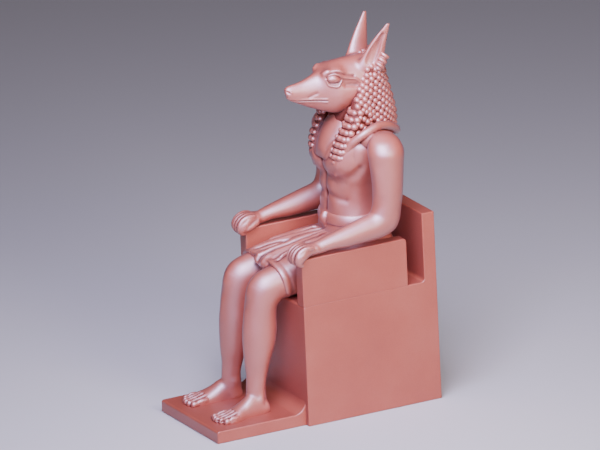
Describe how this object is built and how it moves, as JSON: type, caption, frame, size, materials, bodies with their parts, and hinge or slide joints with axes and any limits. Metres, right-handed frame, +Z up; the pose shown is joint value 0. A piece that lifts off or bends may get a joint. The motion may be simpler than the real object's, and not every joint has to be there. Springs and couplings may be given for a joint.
{
  "type": "seated jackal-headed statue",
  "caption": "Life-size stone statue of a jackal-headed figure seated on a block throne, with a beaded wig, a pleated kilt and both fists resting on the armrests",
  "frame": {"origin": "middle of the underside of the throne and its foot slab", "axes": "+Z up, the figure faces -Y, its left side is +X"},
  "size_m": [0.6132, 1.004, 1.556],
  "materials": {
    "stone": "satin, evenly smoothed, darker in the cut lines"
  },
  "bodies": {
    "root": {"seated_jackal_statue": "stone"}
  },
  "joints": []
}
